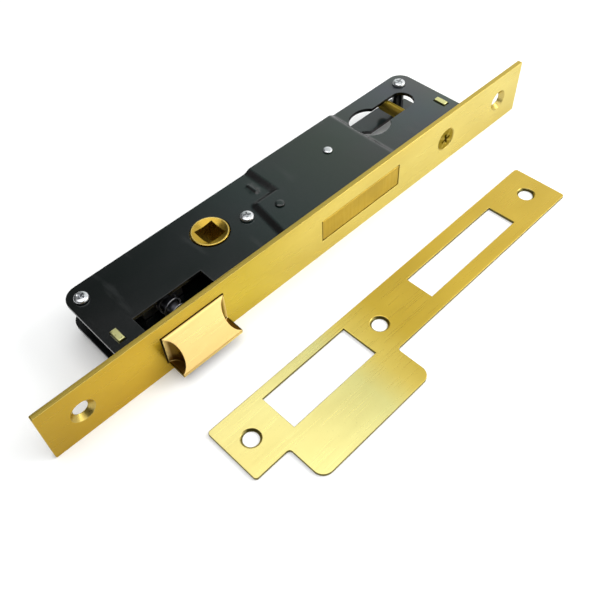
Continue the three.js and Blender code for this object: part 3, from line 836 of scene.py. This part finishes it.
# The raised area's near edge steps forward at one x and slants from there to the forend.
BACK_EDGE = 31.8
STEP_X, STEP_Y = -21.7, 21.2
SLANT_X, SLANT_Y = 20, 15.0
FAR_EDGE = 75.2
PAST_BACK = -60
RAISED = [
    (PAST_BACK, BACK_EDGE), (STEP_X, BACK_EDGE), (STEP_X, STEP_Y),
    (SLANT_X, SLANT_Y), (SLANT_X, FAR_EDGE), (PAST_BACK, FAR_EDGE),
]
RAMP_CUTS = [-0.3, 0.0] + [0.3 * k for k in range(1, 13)]

RIB = ((-32.5, 25.6), (-28.0, 25.6))
RIB_HEIGHT = 0.5
RIB_TOP = 0.25  # half the width of its flat top
RIB_SLOPE = 1.0
RIB_CUTS_X = [-1.2, -0.9, -0.6, -0.3, 0, 4.5, 4.8, 5.1, 5.4, 5.7]
RIB_CUTS_Y = [-1.2, -0.9, -0.6, -0.35, 0, 0.35, 0.6, 0.9, 1.2]

CYLINDER_HOLE = 17.2
CYLINDER_SLOT = 10.4
CYLINDER_REACH = 24.7
ROUND_STEPS, TIP_STEPS = 40, 20  # of the keyhole's round part and of its tip

HUB_HOLE = 7.5  # radii of the plates' holes
GUIDE_PIN_HOLE = 1.7
CASE_RIVET_HOLE = 1.6
GUIDE_RIVET_HOLE = 1.5
COVER_SCREW_HOLE = 1.5
POST_HOLE = 1.9
LUG_TAB = (5.4, 2.4)
LUG_CENTRES = [(-11.1, -50.3), (-12.2, 114.6)]
CASE_EDGE = 0.12

# The tab that is bent in from the base plate and seats two springs.
SEAT_BACK, SEAT_FRONT, SEAT_Y, SEAT_TOP = -37.6, -27.0, 21.3, 4.8
SEAT_SUNK = 0.6  # how far its root lies in the plate


def segment_distance(point, a, b):
    a, b, p = Vector(a), Vector(b), Vector(point)
    t = max(0, min(1, (p - a).dot(b - a) / (b - a).length_squared))
    return (p - (a + (b - a) * t)).length


def fading(distance, width):
    """From 1 where the distance is 0 or less down to 0 at the width, in a smooth slope."""
    t = min(1, max(0, distance) / width)
    return 1 - t * t * (3 - 2 * t)


def raised_height(x, y):
    """How far the sheet is pressed out at a place, in the raised area and on its ramp."""
    inside = False
    nearest = math.inf
    for (x0, y0), (x1, y1) in zip(RAISED, RAISED[1:] + RAISED[:1]):
        nearest = min(nearest, segment_distance((x, y), (x0, y0), (x1, y1)))
        if (y0 > y) != (y1 > y) and x < x0 + (y - y0) * (x1 - x0) / (y1 - y0):
            inside = not inside
    return PRESSED * fading(0 if inside else nearest, RAMP)


def rib_height(x, y):
    return RIB_HEIGHT * fading(segment_distance((x, y), *RIB) - RIB_TOP, RIB_SLOPE)


def case_outline():
    """The plates' outline, square beside the forend and rounded at the back."""
    back, front = COVER.low.x, COVER.high.x
    low, high = COVER.low.y, COVER.high.y
    return rounded([
        (back, low, CASE_CORNER),
        (front, low, CASE_SQUARE),
        (front, high, CASE_SQUARE),
        (back, high, CASE_CORNER),
    ])


def cylinder_hole():
    """The keyhole shape of a euro-profile cylinder, clockwise."""
    radius = CYLINDER_HOLE / 2
    half = CYLINDER_SLOT / 2
    tip = CENTRES + CYLINDER_REACH - half
    shoulder = math.asin(half / radius)
    sweep = 2 * math.pi - 2 * shoulder
    points = []
    for k in range(ROUND_STEPS + 1):
        angle = math.pi / 2 - shoulder - sweep * k / ROUND_STEPS
        points.append((-BACKSET + radius * math.cos(angle), CENTRES + radius * math.sin(angle)))
    for k in range(TIP_STEPS + 1):
        angle = math.pi - math.pi * k / TIP_STEPS
        points.append((-BACKSET + half * math.cos(angle), tip + half * math.sin(angle)))
    return points


def notched(outline):
    """The case outline with the latch's notch cut into its front edge."""
    front = COVER.high.x
    notch = [
        (front, NOTCH_LOW), (NOTCH_BACK, NOTCH_LOW), (NOTCH_BACK, NOTCH_HIGH), (front, NOTCH_HIGH),
    ]
    nearly = front - CASE_SQUARE / 2
    at = next(i for i, (x, y) in enumerate(outline) if x > nearly and y > NOTCH_HIGH)
    return outline[:at] + notch + outline[at:]


def plate(screw_hole, extra_holes=()):
    """The pressed plate on the +Z side as a bmesh, before its own features are added."""
    holes = [
        circle(-BACKSET, 0, HUB_HOLE, 64),
        cylinder_hole(),
        circle(GUIDE_PIN.middle.x, GUIDE_PIN.middle.y, GUIDE_PIN_HOLE),
        circle(CASE_RIVET.middle.x, CASE_RIVET.middle.y, CASE_RIVET_HOLE),
        *[circle(screw.middle.x, screw.middle.y, screw_hole) for screw in COVER_SCREWS],
        *extra_holes,
        *[tab_hole(x, y, *LUG_TAB, GAP) for x, y in LUG_CENTRES],
    ]
    bm = sheet(notched(case_outline()), holes, ROOM, OUTSIDE, CASE_EDGE)
    slant = Vector((SLANT_X - STEP_X, SLANT_Y - STEP_Y)).normalized()
    sliced(bm, (0, BACK_EDGE), (0, -1), RAMP_CUTS)
    sliced(bm, (STEP_X, 0), (-1, 0), RAMP_CUTS)
    sliced(bm, (STEP_X, STEP_Y), (slant.y, -slant.x), RAMP_CUTS)
    sliced(bm, (0, FAR_EDGE), (0, 1), RAMP_CUTS)
    return bm


def make_cover():
    bm = plate(COVER_SCREW_HOLE)
    sliced(bm, (RIB[0][0], 0), (1, 0), RIB_CUTS_X)
    sliced(bm, (0, RIB[0][1]), (0, 1), RIB_CUTS_Y)
    for vertex in bm.verts:
        x, y, z = vertex.co
        vertex.co.z = z + raised_height(x, y) + rib_height(x, y)
    stand_for(bm, "cover", PLATE_SHARP)


def make_base_plate():
    """The cover's mirror image, with a window and the tab that was bent in from it."""
    window = rectangle(SEAT_BACK, SEAT_FRONT, SEAT_Y - SEAT_TOP - ROOM, SEAT_Y)
    rivets = [circle(r.middle.x, r.middle.y, GUIDE_RIVET_HOLE) for r in GUIDE_RIVETS]
    bm = plate(POST_HOLE, [window, *rivets])
    for vertex in bm.verts:
        x, y, z = vertex.co
        vertex.co.z = -(z + raised_height(x, y))
    near, far, root = SEAT_Y, SEAT_Y + SHEET, -ROOM - SEAT_SUNK
    corners = [(near, root, 0.3), (far, root, 0.3), (far, SEAT_TOP, 0.5), (near, SEAT_TOP, 0.5)]
    seat = sheet(rounded(corners, 4), [], SEAT_BACK, SEAT_FRONT, 0.2, borders=())
    bmesh.ops.transform(seat, matrix=STAND, verts=seat.verts)
    stand_for(boolean(bm, seat, "UNION"), "base_plate", PLATE_SHARP)


# ------------------------------------------------------------------ forend and strike

FOREND_CORNER = 0.6
FOREND_CLEARANCE = 0.35  # round the latch and the deadbolt
FOREND_SCREWS = (-73, 139)
SCREW_HOLE = (2.7, 4.5, 1.7)  # radius, radius of the mouth, depth of the cone
CYLINDER_SCREW_HOLE = (3.1, 5.0, 1.72)

# The strike is drawn square to its own length, from its lower corner at the lock's side.
STRIKE_PLACE = (27.7, -48.2)
STRIKE_YAW = 0.014
STRIKE_LENGTH, STRIKE_WIDTH, STRIKE_CORNER = 168, 23, 1.2
LIP_LOW, LIP_HIGH, LIP_OUT, LIP_CORNER = 14.3, 66, 37.7, 4
STRIKE_LATCH_HOLE = (3.7, 18.6, 20.7, 59.7)
STRIKE_BOLT_HOLE = (5.4, 17.1, 91.8, 142.2)
STRIKE_SCREWS = (8.5, 69.8, 158.3)
STRIKE_SCREW_HOLE = (2.8, 3.5, 0.7)


def countersunk(low, high, through, mouth, cone_depth):
    """The section of a countersunk hole whose loop is drawn at its through radius."""
    flare = mouth - through
    return [
        (0.15, low),
        (0.0, low + 0.15),
        (0.0, high - cone_depth - 0.1),
        (0.06, high - cone_depth + 0.05),
        (flare - 0.06, high - 0.12),
        (flare + 0.1, high),
    ]


def make_forend():
    """Drawn flat, with x for the length and y for the height, then stood on its edge."""
    half = FOREND.size.z / 2
    low, high = FOREND.low.y, FOREND.high.y
    back, front = FOREND.low.x, FOREND.high.x
    clear = FOREND_CLEARANCE
    ends = ((low, -half), (high, -half), (high, half), (low, half))
    openings = [
        rectangle(b.low.y - clear, b.high.y + clear, b.low.z - clear, b.high.z + clear)
        for b in (LATCH, BOLT)
    ]
    holes = [
        *openings,
        *[circle(y, 0, SCREW_HOLE[0], 64) for y in FOREND_SCREWS],
        circle(CYLINDER_SCREW.middle.y, 0, CYLINDER_SCREW_HOLE[0], 64),
    ]
    screw = countersunk(back, front, *SCREW_HOLE)
    sunk = countersunk(back, front, *CYLINDER_SCREW_HOLE)
    outline = rounded([(*end, FOREND_CORNER) for end in ends], 4)
    bm = sheet(outline, holes, back, front, 0.15, {2: screw, 3: screw, 4: sunk})
    bmesh.ops.transform(bm, matrix=STAND, verts=bm.verts)
    stand_for(bm, "forend", PLATE_SHARP)


def make_strike():
    """Drawn square to its own length, then turned by its slight yaw on the table."""
    thick = STRIKE.size.z
    outline = rounded([
        (0, 0, STRIKE_CORNER), (STRIKE_WIDTH, 0, STRIKE_CORNER),
        (STRIKE_WIDTH, LIP_LOW, STRIKE_CORNER), (LIP_OUT, LIP_LOW, LIP_CORNER),
        (LIP_OUT, LIP_HIGH, LIP_CORNER), (STRIKE_WIDTH, LIP_HIGH, STRIKE_CORNER),
        (STRIKE_WIDTH, STRIKE_LENGTH, STRIKE_CORNER), (0, STRIKE_LENGTH, STRIKE_CORNER),
    ])
    holes = [
        rectangle(*STRIKE_LATCH_HOLE),
        rectangle(*STRIKE_BOLT_HOLE),
        *[circle(STRIKE_WIDTH / 2, y, STRIKE_SCREW_HOLE[0], 64) for y in STRIKE_SCREWS],
    ]
    screw = countersunk(-thick, 0, *STRIKE_SCREW_HOLE)
    bm = sheet(outline, holes, -thick, 0, 0.18, {2: screw, 3: screw, 4: screw})
    place = Matrix.Translation((*STRIKE_PLACE, TABLE_Z + thick))
    turn = Matrix.Rotation(STRIKE_YAW, 4, "Z")
    bmesh.ops.transform(bm, matrix=place @ turn, verts=bm.verts)
    stand_for(bm, "strike_plate", PLATE_SHARP)


# ------------------------------------------------------------------ screws, pins, springs

COVER_SCREW_SHANK = 1.2
COVER_SCREW_CROSS = (1.6, 0.75, 1.05)  # reach of an arm, width and depth
COVER_SCREW_TURNS = (25, 60, 10)  # degrees
POST_RADIUS, POST_BORE, POST_NECK, POST_HEAD = 2.5, 1.5, 1.6, 2.3
GUIDE_THICK = 1.5  # the latch guide's sheet

SCREW_HEAD, SCREW_SHANK, SCREW_ROOT = 4.7, 2.5, 2.08  # radii of the cylinder screw
SCREW_PITCH = 0.8
SCREW_CROSS = (2.7, 1.15, 1.7)
SCREW_TURN = 12
THREAD_STEPS = 8  # rings in one turn
AROUND = 48

# Of each spring: axis, wire, turns, the joint that presses it, its travel, its fixed end.
SPRINGS = {
    "follower_spring": ("y", 0.55, 8, "follower_turn", 8.2, "high"),
    "latch_spring": ("x", 0.7, 5, "latch_slide", 8.4, "low"),
    "tumbler_spring": ("y", 0.45, 4, "tumbler_lift", 2.5, "low"),
}
COIL_STEPS = 28  # rings in one turn
WIRE_SIDES = 12
END_CLOSENESS = 0.4  # how much closer the turns are at the ends


def make_cover_screw(number):
    """A button-headed screw with a cross recess, each screw turned its own way."""
    box = COVER_SCREWS[number - 1]
    shank, head = COVER_SCREW_SHANK, box.size.x / 2
    low, under, top = box.low.z, OUTSIDE + GAP, box.high.z
    profile = [
        (0, low), (shank - 0.3, low), (shank, low + 0.3), (shank, under), (head, under),
        (head, under + 0.45), (head - 0.3, under + 1.0), (1.6, top - 0.08), (0, top),
    ]
    body = lathe(soften(profile, 0.3))
    bm = boolean(body, cross_tool(*COVER_SCREW_CROSS, top), "DIFFERENCE")
    turn = Matrix.Rotation(math.radians(COVER_SCREW_TURNS[number - 1]), 4, "Z")
    place = Matrix.Translation((box.middle.x, box.middle.y, 0)) @ turn
    bmesh.ops.transform(bm, matrix=place, verts=bm.verts)
    stand_for(bm, "cover_screw_%d" % number, 40)


def make_spacer_post(number):
    """A tapped post between the plates, its tail riveted through the base plate."""
    node = "spacer_post_%d" % number
    box = Box(node)
    low, high = box.low.z, box.high.z
    outer = -OUTSIDE - GAP
    bore_floor = -1
    profile = [
        (0, low), (POST_HEAD - 0.6, low), (POST_HEAD, low + 0.5), (POST_HEAD, outer),
        (POST_NECK, outer), (POST_NECK, -high), (POST_RADIUS, -high), (POST_RADIUS, high),
        (POST_BORE, high), (POST_BORE, bore_floor), (0, bore_floor),
    ]
    stand_for(lathe(soften(profile, 0.2), 48, (box.middle.x, box.middle.y, 0)), node)


def make_pin(node, box, profile, axis_z=True):
    """A turned pin about its box's middle, upright or along x, from its profile."""
    place = (box.middle.x, box.middle.y, 0) if axis_z else (0, box.middle.y, box.middle.z)
    along = None if axis_z else (1, 0, 0)
    stand_for(lathe(soften(profile, 0.15), 40, place, along), node)


def make_through_pin(node, box, radius, neck, head):
    """A pin between the plates whose two necks are riveted over outside them."""
    inner = ROOM + PRESSED - GAP
    outer = OUTSIDE + PRESSED + GAP
    top = box.high.z
    half = [
        (radius, inner), (neck, inner), (neck, outer), (head, outer),
        (head * 0.9, top - 0.16), (head * 0.5, top), (0, top),
    ]
    profile = [(r, -z) for r, z in reversed(half)] + half
    make_pin(node, box, profile)


def plain_pin(node, radius, chamfer=0.2):
    """An upright pin with chamfered ends."""
    box = Box(node)
    low, high = box.low.z, box.high.z
    make_pin(node, box, [
        (0, low), (radius - chamfer, low), (radius, low + chamfer), (radius, high - chamfer),
        (radius - chamfer, high), (0, high),
    ])


def make_small_pins():
    for number, box in enumerate(GUIDE_RIVETS, 1):
        low, high = box.low.z, box.high.z
        under = -OUTSIDE - GAP
        over = -SEAT_TOP + GUIDE_THICK + GAP
        make_pin("latch_guide_rivet_%d" % number, box, [
            (0, low), (1.4, low), (2, low + 0.4), (2, under), (1.2, under), (1.2, over),
            (2, over), (1.7, high - 0.1), (0.8, high), (0, high),
        ])
        plain_pin("deadbolt_rivet_%d" % number, 1.7)
    plain_pin("latch_pin", 1.25)
    stump = Box("stump_pin")
    low, high = stump.low.z, stump.high.z
    shoulder = low + 0.8
    make_pin("stump_pin", stump, [
        (0, low), (2.0, low), (2.2, low + 0.2), (2.2, shoulder), (1.5, shoulder),
        (1.5, high - 0.3), (1.2, high), (0, high),
    ])


def make_latch_rod():
    """The rod that joins the latch to its yoke, with a neck that the yoke holds."""
    box = Box("latch_rod")
    low, high = box.low.x, box.high.x
    neck, radius, neck_end, bevel = 1.7, 2.5, -27.3, 0.3
    make_pin("latch_rod", box, [
        (0, low), (neck - bevel, low), (neck, low + bevel), (neck, neck_end),
        (radius - bevel, neck_end), (radius, neck_end + bevel), (radius, 0.7),
        (radius - bevel, high), (0, high),
    ], axis_z=False)


def thread_radius(height, fade):
    """The thread's radius by angle at one height, from (fade 0) a plain root up to its crest."""
    def radius_at(angle):
        phase = (height / SCREW_PITCH - angle / (2 * math.pi)) % 1
        crest = min(1, 1.25 * (1 - abs(2 * phase - 1)))
        return SCREW_ROOT + (SCREW_SHANK - SCREW_ROOT) * fade * crest
    return radius_at


def make_cylinder_screw():
    """A countersunk machine screw with a rolled thread and a cross recess."""
    box = CYLINDER_SCREW
    tip, flush = box.low.x, box.high.x
    head, shank, root = SCREW_HEAD, SCREW_SHANK, SCREW_ROOT
    under = flush - (head - shank) - 0.15
    thread_start, thread_end = tip + 0.5, under - 1.5
    bm = bmesh.new()
    rings = [[bm.verts.new((0, 0, tip))]]

    def plain_rings(*levels):
        for radius, height in levels:
            rings.append(level_ring(bm, AROUND, lambda angle: radius, height))

    plain_rings((1.5, tip), (1.9, tip + 0.25))
    count = int((thread_end - thread_start) / SCREW_PITCH * THREAD_STEPS)
    for k in range(count + 1):
        height = thread_start + SCREW_PITCH * k / THREAD_STEPS
        fade = min(1, k / THREAD_STEPS, (count - k) / THREAD_STEPS)
        rings.append(level_ring(bm, AROUND, thread_radius(height, fade), height))
    plain_rings(
        (root, thread_end + 0.05), (shank - 0.05, thread_end + 0.4), (shank - 0.05, under - 0.1),
        (shank + 0.05, under + 0.1), (head - 0.12, flush - 0.3), (head, flush - 0.16),
        (head - 0.05, flush - 0.06), (head - 0.3, flush))
    rings.append([bm.verts.new((0, 0, flush))])
    join_rings(bm, rings)
    cut = boolean(bm, cross_tool(*SCREW_CROSS, flush), "DIFFERENCE")
    lay = Vector((0, 0, 1)).rotation_difference(Vector((1, 0, 0)))
    turn = Matrix.Rotation(math.radians(SCREW_TURN), 4, "Z")
    place = Matrix.LocRotScale(Vector((0, box.middle.y, box.middle.z)), lay, None) @ turn
    bmesh.ops.transform(cut, matrix=place, verts=cut.verts)
    stand_for(cut, "cylinder_screw", 30)


def make_spring(node, axis, wire, turns, joint, travel, fixed):
    """A coil of round wire that fills its node's box, wound closer at both ends.

    It is not pressed together: the joint and its travel in mm are not used, and the fixed end, low
    or high, only sets an anchor that nothing uses.
    """
    box = Box(node)
    side = "xyz".index(axis)
    across = [i for i in range(3) if i != side]
    outer = max(box.size[i] for i in across)
    radius = (outer - wire) / 2
    length = box.size[side] - wire
    start = box.low[side] + wire / 2
    steps = COIL_STEPS * turns
    bm = bmesh.new()
    rings = []
    for k in range(steps + 1):
        t = k / steps
        angle = 2 * math.pi * turns * t
        closer = END_CLOSENESS * math.sin(2 * math.pi * t) / (2 * math.pi)
        height = start + length * (t - closer)
        centre = Vector((0, 0, 0))
        centre[side] = height
        centre[across[0]] = box.middle[across[0]] + radius * math.cos(angle)
        centre[across[1]] = box.middle[across[1]] + radius * math.sin(angle)
        outwards = Vector((0, 0, 0))
        outwards[across[0]] = math.cos(angle)
        outwards[across[1]] = math.sin(angle)
        upwards = Vector((0, 0, 0))
        upwards[side] = 1
        ring = []
        for i in range(WIRE_SIDES):
            a = 2 * math.pi * i / WIRE_SIDES
            ring.append(bm.verts.new(
                centre + (outwards * math.cos(a) + upwards * math.sin(a)) * wire / 2
            ))
        rings.append(ring)
    join_rings(bm, rings)
    bm.faces.new(rings[0])
    bm.faces.new(rings[-1])
    piece = stand_for(bm, node)
    anchor = box.middle.copy()
    anchor[side] = (box.low if fixed == "low" else box.high)[side]
    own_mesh(piece)


# ------------------------------------------------------------------ follower

FLANGE, FLANGE_TOP = 8.2, 4.6
RIM = 7.2
DISH_RADIUS, DISH_DROP, DISH_SLOPE = 6.2, 0.25, 0.31
SQUARE = 8.1
HUB_SIDES = 96
CAM_ROOT, CAM_TIP, CAM_HALF = 2.85, 2.1, 3.5  # half widths and half the thickness
CAM_START, CAM_REACH, ARM_REACH = 6.2, 15, 13
CAM_ROUNDING = (0.1, 1.2, 1.2, 0.1)


def make_hub():
    """A hub with a square hole through it and a dished face inside a narrow rim."""
    half = HUB.high.z
    bm = bmesh.new()
    columns = []
    for i in range(HUB_SIDES):
        angle = 2 * math.pi * (i + 0.5) / HUB_SIDES + math.pi / HUB_SIDES
        cos, sin = math.cos(angle), math.sin(angle)
        edge = SQUARE / 2 / max(abs(cos), abs(sin))
        dish = half - DISH_DROP - DISH_SLOPE * (DISH_RADIUS - edge)
        above = [
            (FLANGE, FLANGE_TOP - 0.2), (FLANGE - 0.2, FLANGE_TOP), (RIM + 0.15, FLANGE_TOP),
            (RIM, FLANGE_TOP + 0.15), (RIM, half - 0.3), (RIM - 0.12, half - 0.09),
            (RIM - 0.35, half), (RIM - 0.75, half - 0.03), (RIM - 1.0, half - 0.22),
            (edge + 0.2, dish), (edge + 0.04, dish - 0.06), (edge, dish - 0.25),
        ]
        profile = [(r, -z) for r, z in reversed(above)] + above
        columns.append([bm.verts.new((r * cos, r * sin, z)) for r, z in profile])
    rows = [list(row) for row in zip(*columns)]
    join_rings(bm, rows, closed=True)
    return bm


def make_follower():
    """The hub, its cam towards -Y and its arm towards -X, which ride and show as three."""
    bm = make_hub()
    root, tip, start = CAM_ROOT, CAM_TIP, CAM_START
    plans = {
        "cam": [(-root, -start), (-tip, -CAM_REACH), (tip, -CAM_REACH), (root, -start)],
        "arm": [(-start, root), (-ARM_REACH, tip), (-ARM_REACH, -tip), (-start, -root)],
    }
    for part, plan in plans.items():
        corners = [(x - BACKSET, y, r) for (x, y), r in zip(plan, CAM_ROUNDING)]
        cam = sheet(rounded(corners, 5), [], -CAM_HALF, CAM_HALF, 0.3, borders=())
        stand_for(cam, "follower", 42, part)
    bmesh.ops.translate(bm, vec=(-BACKSET, 0, 0), verts=bm.verts)
    stand_for(bm, "follower", 42)


# ------------------------------------------------------------------ the scene

make_camera()
MATERIALS = make_materials()
make_light()
make_floor()

make_cover()
make_base_plate()
make_forend()
make_strike()
make_follower()
for index in (1, 2, 3):
    make_cover_screw(index)
    make_spacer_post(index)
make_through_pin("guide_pin", GUIDE_PIN, 2.0, 1.4, 1.9)
make_through_pin("case_rivet", CASE_RIVET, 2.2, 1.3, 1.9)
make_small_pins()
make_cylinder_screw()
make_latch_rod()
for name, row in SPRINGS.items():
    make_spring(name, *row)
refined("latch_head", 0.25, 3)
refined("deadbolt_head", 0.2, 2)
refined("lower_lug", 0.25, 2)
refined("upper_lug", 0.25, 2)
for name in ("latch_yoke", "latch_guide", "deadbolt_tail", "tumbler"):
    refined(name, 0.12, 2)
